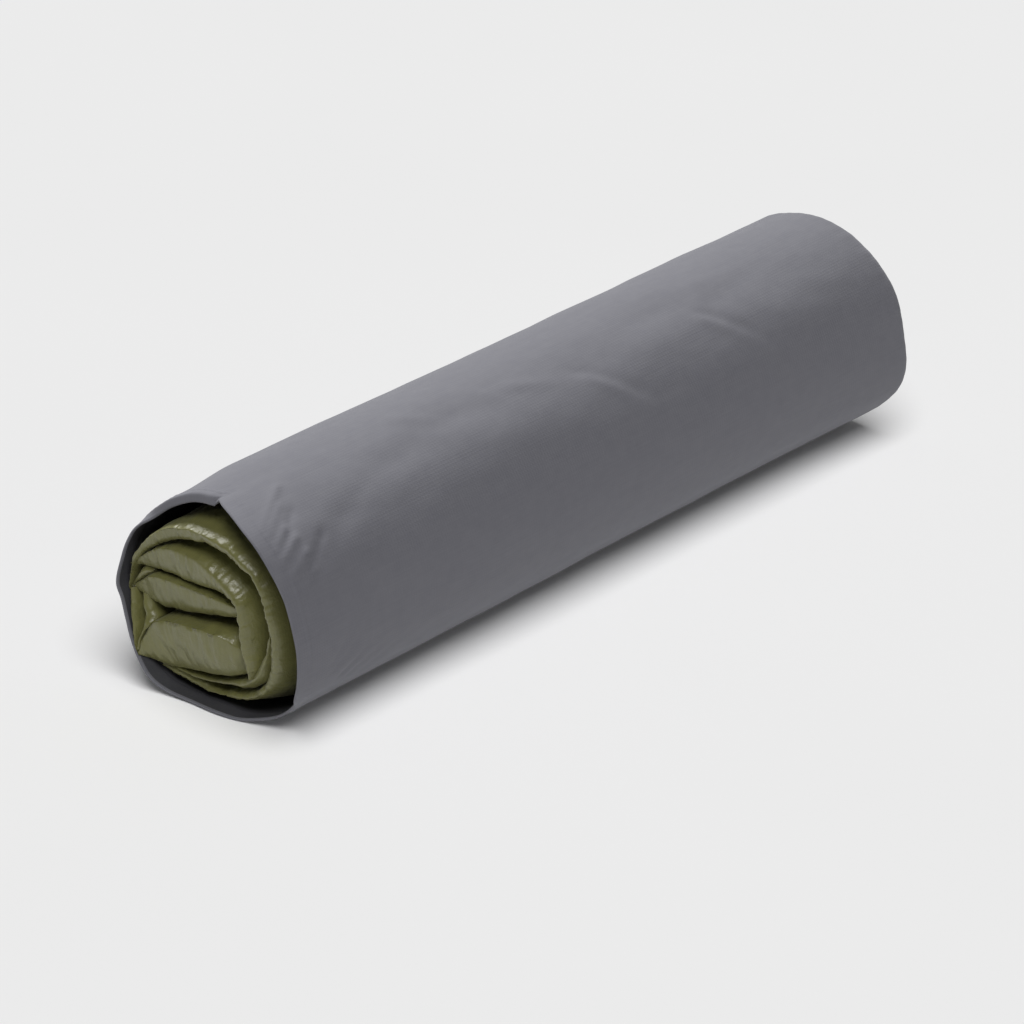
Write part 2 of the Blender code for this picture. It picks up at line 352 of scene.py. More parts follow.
def rim_at_columns():
    """The slack rim's x, and its distance from the roll's middle, at each column."""
    fine = spline(np.array(RIM_MM) * MM, 1200, closed=True)
    polar = np.arctan2(fine[:, 2] - CENTRE_Z, fine[:, 1])
    order = np.argsort(polar)
    reach = np.hypot(fine[:, 1], fine[:, 2] - CENTRE_Z)
    x = np.interp(POLAR, polar[order], fine[order, 0], period=2 * math.pi)
    return x, np.interp(POLAR, polar[order], reach[order], period=2 * math.pi)


RIM_X, RIM_R = rim_at_columns()
BODY_R = np.hypot(OUTLINE[:, 0], OUTLINE[:, 1] - CENTRE_Z)
CURL_LENGTH = 6.5 * MM           # the hem's upper edge turns down over this length
CURL_BEND = 1.7 * MM             # radius of that turn
CURL_MOST = math.radians(78)
BULGE = 5.0 * MM                 # the quilt's corner pressing out beside the base
BULGE_AT = 196.0                 # degrees round the section
BULGE_SPREAD = 17.0              # degrees
BULGE_REACH = 0.11               # how far it runs ahead of the base
END_ROUND = 7 * MM               # length over which the sack rounds in to its base seam
MM_PER_DEGREE = math.radians(1.0) * 75.0    # along the upper arc

# Ridges and creases in the sack: start (x mm, degrees), end, width mm, height mm (a crease
# has a negative height). Each is strongest at its start.
SACK_LINES = [
    # short puckers behind the hem, on the upper -Y side
    ((-247, 102), (-280, 118), 2.4, 1.2), ((-258, 112), (-281, 123), 2.0, 0.9),
    ((-268, 124), (-282, 130), 2.0, 1.3), ((-267, 130), (-285, 137), 2.2, 1.5),
    ((-266, 138), (-284, 145), 2.2, 1.5), ((-266, 146), (-283, 153), 2.2, 1.4),
    ((-248, 134), (-274, 149), 3.0, -1.6), ((-255, 118), (-276, 130), 2.6, -1.0),
    # fine pulls towards the floor, lower on the same side
    ((-258, 196), (-234, 180), 2.6, -0.9), ((-249, 203), (-222, 187), 2.6, -0.9),
    ((-262, 192), (-246, 176), 2.4, -0.8), ((-238, 206), (-204, 190), 3.0, -0.8),
    ((-222, 208), (-190, 196), 3.4, -0.7), ((-278, 84), (-250, 92), 3.0, 0.6),
    # the soft shoulder where the top turns down to the -Y side
    ((-264, 147), (-198, 121), 7.0, -1.1), ((-222, 128), (-148, 114), 9.0, -1.0),
    ((-165, 114), (-88, 108), 11.0, -1.0), ((-106, 108), (-20, 119), 9.0, -0.8),
    ((-40, 108), (-2, 119), 5.0, 0.7), ((10, 117), (50, 144), 4.5, -1.0),
    ((14, 123), (46, 151), 5.0, 0.9), ((6, 114), (90, 103), 12.0, -0.8),
    ((85, 104), (146, 103), 10.0, -0.8), ((132, 117), (166, 143), 3.6, -0.9),
    ((128, 121), (160, 148), 4.0, 0.7), ((152, 97), (131, 116), 4.5, 0.9),
    ((-130, 96), (-104, 112), 5.0, 0.7), ((-70, 100), (-58, 116), 4.5, 0.6),
    ((-180, 150), (-80, 128), 14.0, 0.9), ((-90, 128), (0, 140), 14.0, 0.8),
    ((160, 110), (230, 100), 9.0, -0.8), ((190, 130), (255, 150), 12.0, 0.7),
]


def line_heights(x, polar, lines):
    """How far all the lines together stand out at points of the sack."""
    height = np.zeros_like(x)
    angle = np.degrees(polar) % 360.0
    for (x0, a0), (x1, a1), width, high in lines:
        dx = x1 - x0
        da = (a1 - a0) * MM_PER_DEGREE
        px = x / MM - x0
        pa = ((angle - a0 + 180.0) % 360.0 - 180.0) * MM_PER_DEGREE
        length = math.hypot(dx, da)
        along = (px * dx + pa * da) / length
        off = (pa * dx - px * da) / length
        t = np.clip(along / length, 0.0, 1.0)
        gone = along - t * length
        fade = np.exp(-(gone / (2.0 * width)) ** 2) * (1.0 - 0.75 * t)
        height += high * MM * fade * np.exp(-(off / width) ** 2)
    return height


def sack_rows():
    """Distances of the rows of points from the rim, close together near it."""
    steps = [0.75 * MM] * 16 + [1.5 * MM] * 34
    at = np.r_[0.0, np.cumsum(steps)]
    wide = 4.2 * MM
    rest = np.arange(at[-1] + wide, SACK_LENGTH - 14 * MM, wide)
    end = SACK_LENGTH - np.linspace(13 * MM, 0.0, 9)
    return np.r_[at, rest, end]


def sack_skin():
    """Points of the sack's outer face, shape (rows, columns, 3)."""
    q = sack_rows()[:, None]
    near = 1.0 - smooth(q / RIM_REACH)
    nearer = 1.0 - smooth(q / (RIM_REACH * 1.3))
    x = MOUTH_X + q + nearer * (RIM_X - MOUTH_X)[None, :]
    radius = BODY_R[None, :] + near * (RIM_R - BODY_R)[None, :]
    flat_polar = np.broadcast_to(POLAR[None, :], radius.shape)
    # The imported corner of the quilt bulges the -Y side out beside the base.
    off = (np.degrees(flat_polar) % 360.0 - BULGE_AT) / BULGE_SPREAD
    radius = radius + BULGE * np.exp(-off ** 2) * smooth(1.0 - (SACK_LENGTH - q) / BULGE_REACH)
    end = np.clip((q - (SACK_LENGTH - END_ROUND)) / END_ROUND, 0.0, 1.0)
    radius = radius - 3.0 * MM * (1.0 - np.sqrt(1.0 - end ** 2 * 0.98))
    # The upper part of the hem turns down at the rim.
    degrees = np.degrees(flat_polar)
    curl = smooth((degrees - 22.0) / 25.0) * smooth((89.5 - degrees) / 3.5)
    u = np.clip(CURL_LENGTH - q, 0.0, None)
    most = CURL_MOST * curl
    bend = np.minimum(u / CURL_BEND, most)
    straight = np.maximum(u - most * CURL_BEND, 0.0)
    forward = CURL_BEND * np.sin(bend) + straight * np.cos(most)
    drop = CURL_BEND * (1.0 - np.cos(bend)) + straight * np.sin(most)
    x = x + u - forward - curl * CURL_LENGTH * 0.75 * near
    radius = radius - drop
    return np.stack([x, radius * np.cos(flat_polar), CENTRE_Z + radius * np.sin(flat_polar)],
                    axis=2)


def pressed_in(grid, amount):
    """The grid moved by amount along its normals, which point into the sack."""
    return grid + surface_normals(grid, True) * amount[:, :, None]


def crumpled_skin():
    """The sack's outer face with its creases, puckers and stitch line."""
    grid = sack_skin()
    q = sack_rows()[:, None] * np.ones((1, SACK_COLUMNS))
    lie = smooth((grid[:, :, 2] - 1 * MM) / (12 * MM))
    slow = roughness_field(grid * np.array([0.55, 1.0, 1.0]), 62 * MM, 1, 2) * 1.1 * MM
    mid = roughness_field(grid * np.array([0.5, 1.0, 1.0]), 22 * MM, 2, 2) * 0.45 * MM
    polar = np.broadcast_to(POLAR[None, :], q.shape)
    lines = line_heights(grid[:, :, 0], polar, SACK_LINES)
    stitch = np.exp(-((q - HEM_STITCHES) / (1.0 * MM)) ** 2) * 0.30 * MM
    pucker = np.sin(RUN / (5.5 * MM) * 2 * math.pi + 3.0 * np.sin(RUN / (37 * MM)))[None, :]
    near_stitch = np.exp(-((q - HEM_STITCHES) / (5.0 * MM)) ** 2)
    gather = near_stitch * pucker * 0.16 * MM
    shrink = np.exp(-((END_X - 5 * MM - grid[:, :, 0]) / (5 * MM)) ** 2)
    base = shrink * np.sin(RUN / BASE_PUCKER * 2 * math.pi)[None, :] * 0.10 * MM
    return pressed_in(grid, lie * (slow + mid - lines - stitch + gather + base))


SKIN = crumpled_skin()
SKIN_NORMALS = surface_normals(SKIN, True)       # they point into the sack


def inside(depth, rows=slice(None)):
    """The skin's points moved inwards by depth."""
    return SKIN[rows] + SKIN_NORMALS[rows] * depth


def cloth_shell(outer, inner, closed_columns, run, along):
    """Vertices, faces and UVs of a cloth with an outer and an inner face and closed edges."""
    rows, columns = outer.shape[:2]
    vertices = np.concatenate([outer.reshape(-1, 3), inner.reshape(-1, 3)])
    uv = np.stack([np.broadcast_to(along[:, None], (rows, columns)),
                   np.broadcast_to(run[None, :], (rows, columns))], axis=2).reshape(-1, 2)
    half = rows * columns
    faces = grid_faces(rows, columns, closed_columns=closed_columns)
    faces += [f[::-1] for f in
              grid_faces(rows, columns, closed_columns=closed_columns, start=half)]
    last = (rows - 1) * columns
    for c in range(columns if closed_columns else columns - 1):
        d = (c + 1) % columns
        faces.append((d, c, half + c, half + d))
        faces.append((last + c, last + d, half + last + d, half + last + c))
    if not closed_columns:
        for r in range(rows - 1):
            a = r * columns
            b = a + columns
            faces.append((a, b, half + b, half + a))
            faces.append((b + columns - 1, a + columns - 1, half + a + columns - 1,
                          half + b + columns - 1))
    return vertices, faces, np.concatenate([uv, uv])


def outwards(obj):
    """Turns a closed mesh's faces outwards."""
    bm = bmesh.new()
    bm.from_mesh(obj.data)
    if bm.calc_volume(signed=True) < 0:
        bmesh.ops.reverse_faces(bm, faces=bm.faces)
    bm.to_mesh(obj.data)
    bm.free()
    return obj


def rim_rounding(q):
    """How far the cloth rounds inwards at distances q from the rim, a folded edge."""
    first = np.clip(1.0 - q / RIM_ROUND, 0.0, 1.0)
    return RIM_ROUND * (1.0 - np.sqrt(1.0 - first ** 2))


def make_skin():
    """The sack's side, drawn dark on its inner face: partly a real coating, partly painted shade.
    """
    q = sack_rows()
    depth = rim_rounding(q)
    outer = inside(depth[:, None, None])
    inner = inside(np.maximum(CLOTH, depth + 0.05 * MM)[:, None, None])
    vertices, faces, uvs = cloth_shell(outer, inner, True, RUN, q)
    skin = outwards(add_piece("sack_skin", vertices, faces, uvs))
    finish(skin, SACK_CLOTH, "sack_cloth", "sack", "sack_tube")
    # The inner face gets the dark finish: partly a real coating, partly painted shade.
    skin.data.materials.append(DARK_COATING_AND_PAINTED_SHADE)
    half = SKIN.shape[0] * SKIN.shape[1]
    for face in skin.data.polygons:
        if min(face.vertices) >= half:
            face.material_index = 1
    return skin


def make_hem():
    """The hem's inner ply, turned in all round the mouth."""
    q = sack_rows()
    rows = np.where(q <= HEM_WIDTH)[0]
    near = 2 * RIM_ROUND - rim_rounding(q[rows])
    outer = inside(CLOTH + 0.12 * MM, rows)
    inner = inside(np.maximum(near, CLOTH + 0.2 * MM)[:, None, None], rows)
    hem = outwards(add_piece("sack_hem", *cloth_shell(outer, inner, True, RUN, q[rows])))
    finish(hem, SACK_CLOTH, "sack_cloth", "sack", "sack_mouth_hem")
    # A few millimetres in from the rim, the hem's turned face is drawn dark: painted shade, as a
    # real hem shows the cloth's outer face there.
    hem.data.materials.append(DARK_COATING_AND_PAINTED_SHADE)
    half = len(rows) * SACK_COLUMNS
    painted_shade_from = int(np.argmin(np.abs(q[rows] - PAINTED_SHADE_FROM))) * SACK_COLUMNS
    for face in hem.data.polygons:
        if min(face.vertices) >= half + painted_shade_from:
            face.material_index = 1
    return hem


def make_base():
    """The round base panel, pushed out into a low dome, and its puckered seam edge."""
    last = SKIN[-1]
    middle = np.array([0.0, 0.0, CENTRE_Z + 1 * MM])
    shares = np.r_[np.linspace(1.0, 0.9, 8), np.linspace(0.88, 0.04, 30)]
    rows = []
    for share in shares:
        ring = middle + (last - middle) * share
        fall = 1.0 - share
        dome = 3.0 * MM * (1.0 - share ** 3.0)
        ring[:, 0] = last[:, 0] * share ** 6 + END_X * (1 - share ** 6) + dome
        pull = np.sin(RUN / BASE_PUCKER * 2 * math.pi) * 0.25 * MM * math.exp(-(fall / 0.12) ** 2)
        ring[:, 0] += pull - 0.6 * MM * math.exp(-(fall / 0.02) ** 2)
        rows.append(ring)
    grid = np.array(rows)
    bumps = roughness_field(grid, 45 * MM, 5, 2) * 1.0 * MM
    edge = smooth((1.0 - shares) / 0.15)[:, None]
    grid[:, :, 0] += bumps * edge
    front = grid.copy()
    front[:, :, 0] -= CLOTH
    vertices = np.concatenate([grid.reshape(-1, 3), front.reshape(-1, 3)])
    vertices = np.concatenate([vertices, [grid[-1].mean(0)], [front[-1].mean(0)]])
    half = len(shares) * SACK_COLUMNS
    faces = grid_faces(len(shares), SACK_COLUMNS, closed_columns=True)
    faces += [f[::-1] for f in
              grid_faces(len(shares), SACK_COLUMNS, closed_columns=True, start=half)]
    tip = (len(shares) - 1) * SACK_COLUMNS
    for c in range(SACK_COLUMNS):
        d = (c + 1) % SACK_COLUMNS
        faces.append((tip + c, tip + d, 2 * half))
        faces.append((half + tip + d, half + tip + c, 2 * half + 1))
        faces.append((d, c, half + c, half + d))
    panel = outwards(add_piece("sack_base", vertices, faces, vertices[:, 1:3]))
    finish(panel, SACK_CLOTH, "sack_cloth", "sack", "sack_base_panel")
    return panel


def make_side_seam():
    """The felled side seam: a folded ply inside the sack, thin at its two edges."""
    q = sack_rows()
    rows = np.where((q > HEM_WIDTH + 2 * MM) & (q < q[-1] - 12 * MM))[0]
    columns = np.r_[np.arange(SACK_COLUMNS - 3, SACK_COLUMNS), np.arange(0, 4)]
    outer = inside(CLOTH + 0.1 * MM)[rows][:, columns]
    inner = inside(CLOTH + 1.0 * MM)[rows][:, columns]
    inner[:, 0] = outer[:, 0] + (inner[:, 0] - outer[:, 0]) * 0.4
    inner[:, -1] = outer[:, -1] + (inner[:, -1] - outer[:, -1]) * 0.4
    run = np.arange(len(columns)) * GIRTH / SACK_COLUMNS
    seam = outwards(add_piece("sack_seam", *cloth_shell(outer, inner, False, run, q[rows])))
    finish(seam, SACK_CLOTH, "sack_cloth", "sack", "sack_side_seam")
    return seam


def make_binding():
    """Tape folded over the base seam's raw edges, inside the sack."""
    q = sack_rows()
    loops = []
    rear = len(q) - 1
    front = int(np.argmin(np.abs(q - (q[-1] - 8.5 * MM))))
    depths_mm = (1.0, 1.9, 2.6)
    for row, depth in ([(front, d) for d in depths_mm] + [(rear, d) for d in depths_mm[::-1]]):
        ring = SKIN[row] + SKIN_NORMALS[front] * depth * MM
        if row == rear:
            ring[:, 0] -= 1.4 * MM
        loops.append(ring)
    grid = np.array(loops)
    faces = grid_faces(len(loops), SACK_COLUMNS, closed_rows=True, closed_columns=True)
    uv = np.stack([np.broadcast_to(np.arange(len(loops))[:, None] * 2.2 * MM, grid.shape[:2]),
                   np.broadcast_to(RUN[None, :], grid.shape[:2])], axis=2).reshape(-1, 2)
    tape = outwards(add_piece("base_seam_tape", grid.reshape(-1, 3), faces, uv))
    finish(tape, SEAM_TAPE, "seam_tape", "sack", "sack_base_binding")
    return tape


# ---- the quilt -----------------------------------------------------------------------------
QUILT_LOW, QUILT_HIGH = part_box("quilt_shell")
FOLD_X = QUILT_LOW.x             # the foremost point of the folded end
FAR_X = QUILT_HIGH.x


def sack_bore():
    """Room inside the sack, by steps of x and by column: never more than at its mouth."""
    steps = np.linspace(MOUTH_X - 5 * MM, END_X, 300)
    reach = np.hypot(SKIN[:, :, 1], SKIN[:, :, 2] - CENTRE_Z)
    ahead = np.maximum.accumulate(SKIN[:, :, 0], axis=0)
    room = np.stack([np.interp(steps, ahead[:, c], reach[:, c]) for c in range(SACK_COLUMNS)],
                    axis=1)
    return steps, np.minimum.accumulate(room, axis=0) - PLAY


BORE_X, BORE_R = sack_bore()


def kept_inside(grid):
    """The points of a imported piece, drawn in wherever they would press through the sack."""
    y, z = grid[..., 1], grid[..., 2] - CENTRE_Z
    turns = (np.unwrap(POLAR) - POLAR[0]) % (2 * math.pi)
    turn = (np.arctan2(z, y) - POLAR[0]) % (2 * math.pi)
    column = np.interp(turn, np.r_[turns, 2 * math.pi], np.arange(SACK_COLUMNS + 1))
    row = np.interp(grid[..., 0], BORE_X, np.arange(len(BORE_X))).astype(int)
    left = column.astype(int) % SACK_COLUMNS
    right = (left + 1) % SACK_COLUMNS
    part = column - np.floor(column)
    room = BORE_R[row, left] * (1 - part) + BORE_R[row, right] * part
    share = np.minimum(1.0, room / np.maximum(np.hypot(y, z), 1e-9))
    return np.stack([grid[..., 0], y * share, CENTRE_Z + z * share], axis=-1)


def fold_profile(width_in, width_out, rise_in, rise_out, front_x, back_x, tight):
    """One section across a fold: from its inner back, round the crest, to its outer back.

    tight is how sharply the crest turns over to the outer slope: 0.1 sharp, 1 round.
    Returns rows of (x, share across from the inner face to the outer face).
    """
    width = width_in + width_out
    turn = np.linspace(0.0, math.pi / 2, 16)
    inner = [(front_x + rise_in * (1 - math.sin(t)), width_in * (1 - math.cos(t)) / width)
             for t in turn]
    outer = []
    steep = rise_out / (math.hypot(1.0, tight) - tight)
    for t in turn[1:]:
        off = t / turn[-1]
        x = front_x + steep * (math.hypot(off, tight) - tight)
        outer.append((x, (width_in + width_out * off) / width))
    growing = np.cumsum(np.geomspace(1.2 * MM, 14 * MM, 26))
    ahead_in = front_x + rise_in + growing
    ahead_out = front_x + rise_out + growing
    line_in = [(x, 0.0) for x in ahead_in if x < back_x][::-1]
    line_out = [(x, 1.0) for x in ahead_out if x < back_x]
    return [(back_x, 0.0)] + line_in + inner + outer + line_out + [(back_x, 1.0)]


def make_fold(inner_mm, outer_mm, crest=0.5, rise_in=8.0, rise_out=20.0, front=0.0,
              pucker=0.6, spacing=1.1, seed=1, swell=0.0, back_x=FAR_X, tight=0.25):
    """A folded, padded strip that follows a path across the roll and runs along its length.

    inner_mm and outer_mm are the strip's two edges at the mouth, with matching points.
    crest is the share across at which the fold reaches foremost, front how far behind
    FOLD_X that is in mm. Each may be a list, spread along the path.
    """
    inner_edge = np.array(inner_mm, float)
    outer_edge = np.array(outer_mm, float)
    both = np.hstack([inner_edge, outer_edge])
    length = np.linalg.norm(np.diff(outer_edge, axis=0), axis=1).sum()
    length = max(length, np.linalg.norm(np.diff(inner_edge, axis=0), axis=1).sum())
    count = int(length / spacing)
    path = spline(both, count) * MM
    t = np.linspace(0.0, 1.0, count)

    def spread(value):
        value = np.atleast_1d(np.array(value, float))
        return np.interp(t, np.linspace(0.0, 1.0, len(value)), value)

    crests, rises_in, rises_out, fronts = map(spread, (crest, rise_in, rise_out, front))
    sections = []
    rows = []
    for k in range(count):
        a, b = path[k, :2], path[k, 2:]
        width = max(np.linalg.norm(b - a), 0.5 * MM)
        section = fold_profile(width * crests[k], width * (1 - crests[k]), rises_in[k] * MM,
                               rises_out[k] * MM, FOLD_X + fronts[k] * MM, back_x, tight)
        sections.append(section)
        rows.append([(x, *(a + (b - a) * share)) for x, share in section])
    least = min(len(r) for r in rows)
    grid = np.array([resample(r, least) for r in rows])
    # Behind the mouth the strip fills out again, away from the roll's middle.
    share = np.array([resample(s, least)[:, 1] for s in sections])
    out = grid[:, :, 1:] - np.array([0.0, CENTRE_Z])
    out = out / np.maximum(np.linalg.norm(out, axis=2, keepdims=True), 1e-9)
    grown = smooth((grid[:, :, 0] - FOLD_X - 12 * MM) / (60 * MM)) * share * swell * MM
    grown = grown * smooth((grid[:, :, 2] - 80 * MM) / (40 * MM))
    grid[:, :, 1:] += out * grown[:, :, None]
    middle = (path[:, :2] + path[:, 2:]) / 2
    run = np.r_[0.0, np.cumsum(np.linalg.norm(np.diff(middle, axis=0), axis=1))]
    across = np.r_[0.0, np.cumsum(np.linalg.norm(np.diff(grid[count // 2], axis=0), axis=1))]
    # Puckers run across the crest; they fade out behind it.
    front_here = grid[:, :, 0].min(axis=1, keepdims=True)
    near = np.exp(-((grid[:, :, 0] - front_here) / (7 * MM)) ** 2)
    stretched = np.stack([run[:, None] * np.ones_like(near), grid[:, :, 0] * 0.16,
                          across[None, :] * 0.16 * np.ones_like(near)], axis=2)
    phase = run[:, None] / (3.2 * MM) * 2 * math.pi + 4.0 * np.sin(run[:, None] / (23 * MM) + seed)
    even = np.sin(phase + 25.0 * (grid[:, :, 0] - front_here) / (10 * MM))
    gusts = smooth(roughness_field(stretched, 14 * MM, seed + 30, 1) + 0.5)
    ridges = roughness_field(stretched, 3.4 * MM, seed + 20, 2) + 0.3 * even * gusts
    ridges = ridges * near * pucker * MM
    soft = roughness_field(grid * np.array([0.5, 1.0, 1.0]), 18 * MM, seed, 3) * 0.9 * MM
    small = roughness_field(grid, 5 * MM, seed + 3, 2) * 0.25 * MM
    ends = smooth(np.minimum(t, 1 - t) / 0.04)[:, None]
    normals = surface_normals(grid, False)
    centre_side = np.einsum("ijk,k->ij", normals, np.array([-1.0, 0.0, 0.0]))
    flip = -1.0 if centre_side[:, least // 3:2 * least // 3].mean() < 0 else 1.0
    grid = kept_inside(grid + normals * flip * ((ridges + soft + small) * ends)[:, :, None])
    columns = grid.shape[1]
    faces = grid_faces(count, columns, closed_columns=True)
    faces.append(tuple(range(columns)))
    faces.append(tuple((count - 1) * columns + c for c in range(columns))[::-1])
    uv = np.stack([np.broadcast_to(across[None, :], grid.shape[:2]),
                   np.broadcast_to(run[:, None], grid.shape[:2])], axis=2).reshape(-1, 2)
    return grid.reshape(-1, 3), faces, uv


def resample(points, count):
    """A section's points, brought to count of them by their place in the list."""
    p = np.array(points)
    if len(p) == count:
        return p
    at = np.linspace(0, len(p) - 1, count)
    index = np.arange(len(p))
    return np.stack([np.interp(at, index, p[:, k]) for k in range(p.shape[1])], axis=1)


def joined(name, parts):
    """One piece made of several folds, which stay separate closed shapes in it."""
    vertices, faces, uvs, start = [], [], [], 0
    for v, f, uv in parts:
        vertices.append(v)
        faces += [tuple(i + start for i in face) for face in f]
        uvs.append(uv)
        start += len(v)
    return add_piece(name, np.concatenate(vertices), faces, np.concatenate(uvs))


# The outer wrap, from the left tip over the top and down the -Y side to the floor.
WRAP_INNER = [(74, 58), (68, 78), (57, 91), (42, 101), (20, 109), (0, 111), (-18, 109),
              (-33, 101), (-40, 87), (-43, 70), (-42, 53), (-38, 38), (-30, 25), (-20, 17),
              (-4, 11.5), (10, 9.5), (26, 13), (46, 18)]
WRAP_OUTER = [(75, 60), (70, 81), (59, 98), (42, 113.5), (22, 123.5), (0, 128), (-24, 127),
              (-46, 119), (-61, 103), (-69, 80), (-70, 54), (-64, 33), (-46, 15), (-26, 4),
              (-4, 2), (12, 2), (30, 3.5), (52, 10)]
RING_INNER = [(73, 74), (61, 76), (43, 78), (20, 79), (0, 79.5), (-10, 79.5), (-16, 76),
              (-17, 66), (-17, 56), (-18, 47), (-21, 38), (-23, 30)]
RING_OUTER = [(74, 77), (63, 86), (46, 98), (22, 107), (0, 109), (-18, 105.5),
              (-33, 97), (-40, 83), (-43, 68), (-42, 52), (-38, 38), (-28, 27)]
LENS_INNER = [(72, 58), (62, 54), (50, 52), (34, 55), (18, 58.5), (4, 62), (-10, 66), (-18, 70)]
LENS_OUTER = [(73, 62), (63, 70), (53, 76), (36, 77.5), (20, 78), (4, 78), (-10, 77.5), (-18, 77)]
LOW_INNER = [(59, 20.5), (51, 17), (43, 14.5), (34, 15.5), (23, 17.5), (9, 20), (-3, 23),
             (-14, 27), (-25, 33)]
LOW_OUTER = [(59.5, 22.5), (58.5, 31), (54, 42), (46, 49), (32, 53), (16, 56), (2, 58),
             (-13, 60), (-25, 52)]
THIN_INNER = [(-43, 68), (-37, 54), (-30, 40), (-24, 31), (-15, 24.5), (-4, 20.5), (10, 17),
              (26, 15.5), (44, 17.5)]
THIN_OUTER = [(-43.5, 68), (-42, 54), (-37, 38), (-31, 28), (-20, 19), (-4, 14), (10, 11),
              (26, 11.5), (44, 15.5)]
LOBE_INNER = [(74, 59), (67, 65), (61, 71), (54, 76)]
LOBE_OUTER = [(74, 61), (69, 71), (64, 78), (55, 78)]
LEFT_INNER = [(69, 62), (67, 53), (65, 45), (62, 36), (60, 27), (58.5, 21)]
LEFT_OUTER = [(73, 61), (72.5, 53), (70.5, 45), (66, 35.5), (61.5, 27), (59, 21.5)]
LEFT_MID_INNER = [(60, 60), (55, 50), (52, 46), (53, 42), (57, 34), (58, 26)]
LEFT_MID_OUTER = [(69, 60), (67, 52), (64.5, 45), (61.5, 36), (60, 29), (58.5, 25)]


def make_quilt():
    """The outer wrap, and the folds that lie inside it."""
    wrap = make_fold(
        WRAP_INNER, WRAP_OUTER, rise_in=8, swell=4, seed=1,
        crest=[0.5, 0.6, 0.75, 0.8, 0.62, 0.42, 0.3, 0.18, 0.14, 0.16, 0.2, 0.2, 0.2, 0.3, 0.4,
               0.5, 0.5],
        rise_out=[16, 14, 12, 14, 20, 30, 40, 54, 62, 64, 62, 56, 42, 30, 24, 22, 20],
        front=[1, 0, 0, 0, 0, 0, 1, 3, 5, 8, 10, 10, 8, 3])
    outer = joined("quilt_outer_wrap", [wrap])
    finish(outer, QUILT_NYLON, "quilt_nylon", "quilt", "quilt_shell")
    ring = make_fold(
        RING_INNER, RING_OUTER, seed=2,
        crest=[0.8, 0.95, 0.92, 0.82, 0.68, 0.42, 0.24, 0.2, 0.2, 0.2, 0.2],
        rise_in=[8, 8, 8, 8, 9, 12, 16, 18, 18, 14, 10],
        rise_out=[10, 12, 18, 24, 30, 34, 44, 50, 50, 44, 30],
        front=[3, 1, 0, 0, 1, 3, 6])
    lens = make_fold(
        LENS_INNER, LENS_OUTER, rise_in=9, rise_out=5, seed=3, pucker=0.4,
        crest=[0.8, 0.92, 0.97, 0.98, 0.97, 0.95], front=[3, 1, 1, 2, 4])
    low = make_fold(
        LOW_INNER, LOW_OUTER, rise_in=12, rise_out=22, seed=4, tight=0.6,
        crest=[0.6, 0.85, 0.94, 0.97, 0.97, 0.96, 0.95, 0.88, 0.7, 0.5],
        front=[-9, -6, -4, -3, -3, -3, -2, 2, 13])
    thin = make_fold(THIN_INNER, THIN_OUTER, crest=0.45, rise_in=4, rise_out=6,
                     front=[7, 8, 9, 9, 7, 3], seed=5, pucker=0.3)
    lobe = make_fold(LOBE_INNER, LOBE_OUTER, rise_in=5, rise_out=6,
                     front=[3, 2, 4], seed=6, pucker=0.2)
    left = make_fold(LEFT_INNER, LEFT_OUTER, rise_in=5, rise_out=8,
                     front=[0, -1, -3.5, -6, -8.5, -9], seed=7, pucker=0.2)
    left_mid = make_fold(LEFT_MID_INNER, LEFT_MID_OUTER, rise_in=6, rise_out=6,
                         front=[4, 1, 0, -4, -7, -8.5], seed=8, pucker=0.2)
    folds = joined("quilt_inner_folds", [ring, lens, low, thin, lobe, left, left_mid])
    finish(folds, QUILT_NYLON, "quilt_nylon", "quilt")
    return outer, folds


def inset_edges(inner, outer, share):
    """A strip's two edges, each moved in by a share of its width."""
    a, b = np.array(inner, float), np.array(outer, float)
    return a + (b - a) * share, b - (b - a) * share


def make_hidden_plies():
    """The wadding inside the outer wrap, and the lining ply in its middle."""
    a, b = inset_edges(WRAP_INNER, WRAP_OUTER, 0.22)
    batt = make_fold(a, b, pucker=0, front=90, spacing=6.0, seed=11, back_x=FAR_X - 4 * MM)
    fill = joined("quilt_wadding_batt", [batt])
    finish(fill, WADDING, "quilt_wadding", "quilt", "quilt_fill")
    a, b = inset_edges(RING_INNER, RING_OUTER, 0.3)
    ply = make_fold(a, b, pucker=0, front=60, spacing=6.0, seed=12, back_x=FAR_X - 2 * MM)
    lining = joined("quilt_lining_ply", [ply])
    finish(lining, QUILT_LINING, "quilt_lining", "quilt", "quilt_lining")
    return fill, lining


skin = make_skin()
hem = make_hem()
seam = make_side_seam()
base = make_base()
tape = make_binding()
outer_wrap, inner_folds = make_quilt()
fill, lining = make_hidden_plies()

for piece in (outer_wrap, inner_folds, fill, lining):
    outwards(piece)

# ---- floor, light and camera -----------------------------------------------------------------


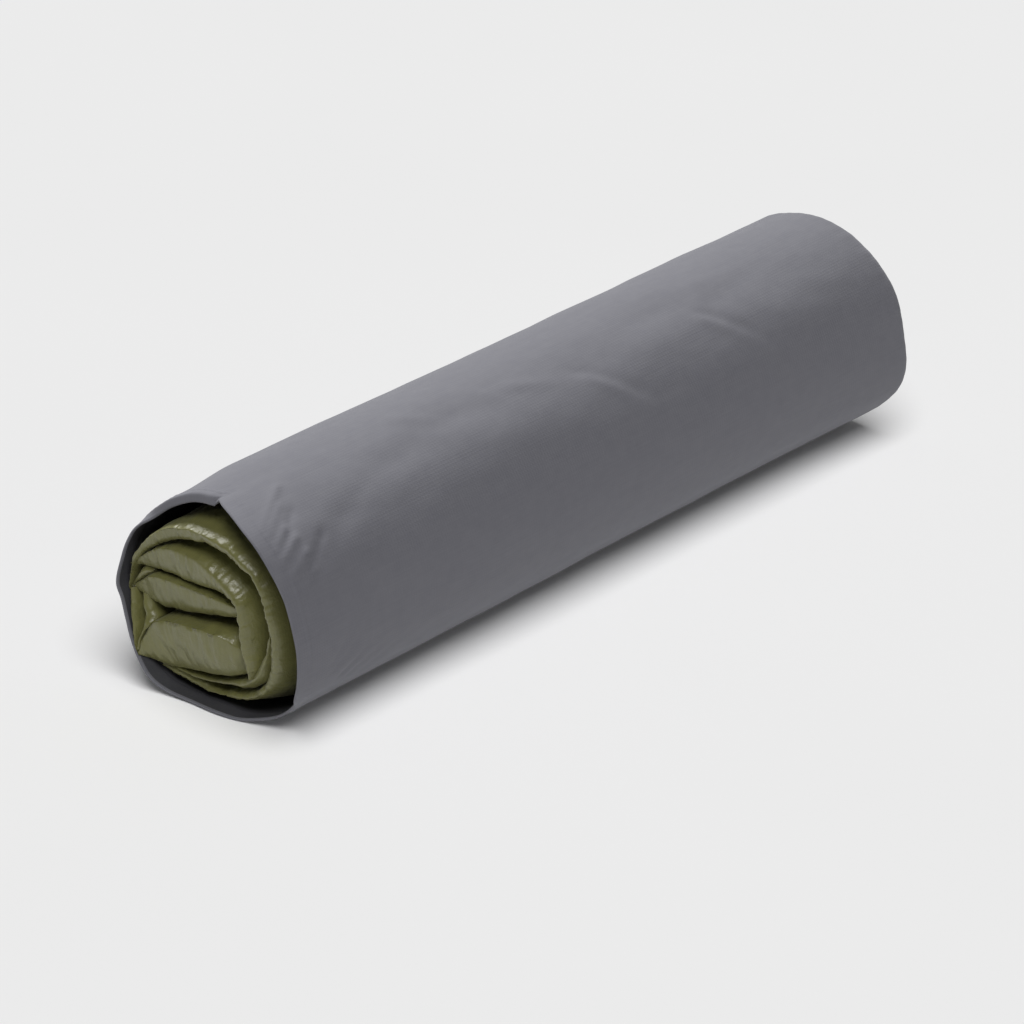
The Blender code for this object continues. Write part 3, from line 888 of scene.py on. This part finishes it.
def make_floor():
    """A matt pale backdrop that stays even under soft light."""
    material, tree, shader = new_material("matt_backdrop", Roughness=0.95)
    shader.inputs["Specular IOR Level"].default_value = 0.0
    place = add_node(tree, "ShaderNodeTexCoord").outputs["Object"]
    grain = add_node(tree, "ShaderNodeTexNoise", {"Vector": place, "Scale": 3.0})
    tone = add_node(tree, "ShaderNodeMix",
                    {"Factor": grain.outputs["Fac"], "A": linear("#E8E8E8"),
                     "B": linear("#EAEAEA")}, data_type="RGBA")
    tree.links.new(tone.outputs["Result"], shader.inputs["Base Color"])
    shader.inputs["Emission Color"].default_value = linear("#EBEBEB")
    shader.inputs["Emission Strength"].default_value = 0.04
    size = 20.0
    corners = [(-size, -size), (size, -size), (size, size), (-size, size)]
    floor = add_piece("floor", [(x, y, -0.3 * MM) for x, y in corners], [(0, 1, 2, 3)])
    floor.data.materials.append(material)
    floor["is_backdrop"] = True
    return floor


floor = make_floor()
world = bpy.data.worlds.new("studio")
bpy.context.scene.world = world
world.use_nodes = True
world.node_tree.nodes["Background"].inputs["Color"].default_value = (1.0, 1.0, 1.0, 1.0)
world.node_tree.nodes["Background"].inputs["Strength"].default_value = 0.09


def add_sun(name, strength, spread, towards, lit):
    """A large soft source: light comes from the direction towards, onto the lit pieces."""
    data = bpy.data.lights.new(name, "SUN")
    data.energy = strength
    data.angle = math.radians(spread)
    light = bpy.data.objects.new(name, data)
    light.rotation_euler = Vector(towards).to_track_quat("Z", "Y").to_euler()
    light.light_linking.receiver_collection = lit
    bpy.context.collection.objects.link(light)
    return light


lit_product = bpy.data.collections.new("lit_product")
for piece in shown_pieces():
    lit_product.objects.link(piece)
lit_floor = bpy.data.collections.new("lit_floor")
lit_floor.objects.link(floor)
add_sun("back_softbox", 3.55, 30, (0.30, 0.60, 0.70), lit_product)
add_sun("key_softbox", 1.6, 26, (-0.38, -0.38, 0.92), lit_product)
add_sun("floor_softbox", 3.05, 44, (-0.22, -0.38, 1.0), lit_floor)

FOCAL_MM = 150.8
SENSOR_MM = 36.0
ELEVATION = math.radians(27.0)
AZIMUTH = math.radians(-47.84)
CAMERA_DISTANCE = 2.8625
AIM = Vector((0.0328, 0.0467, 0.0))
back = Vector((math.sin(AZIMUTH) * math.cos(ELEVATION),
               -math.cos(AZIMUTH) * math.cos(ELEVATION), math.sin(ELEVATION)))
camera_data = bpy.data.cameras.new("camera")
camera_data.lens = FOCAL_MM
camera_data.sensor_width = SENSOR_MM
camera = bpy.data.objects.new("camera", camera_data)
camera.location = AIM + back * CAMERA_DISTANCE
camera.rotation_euler = (-back).to_track_quat("-Z", "Y").to_euler()
bpy.context.collection.objects.link(camera)
bpy.context.scene.camera = camera
bpy.context.scene.view_settings.view_transform = "Standard"
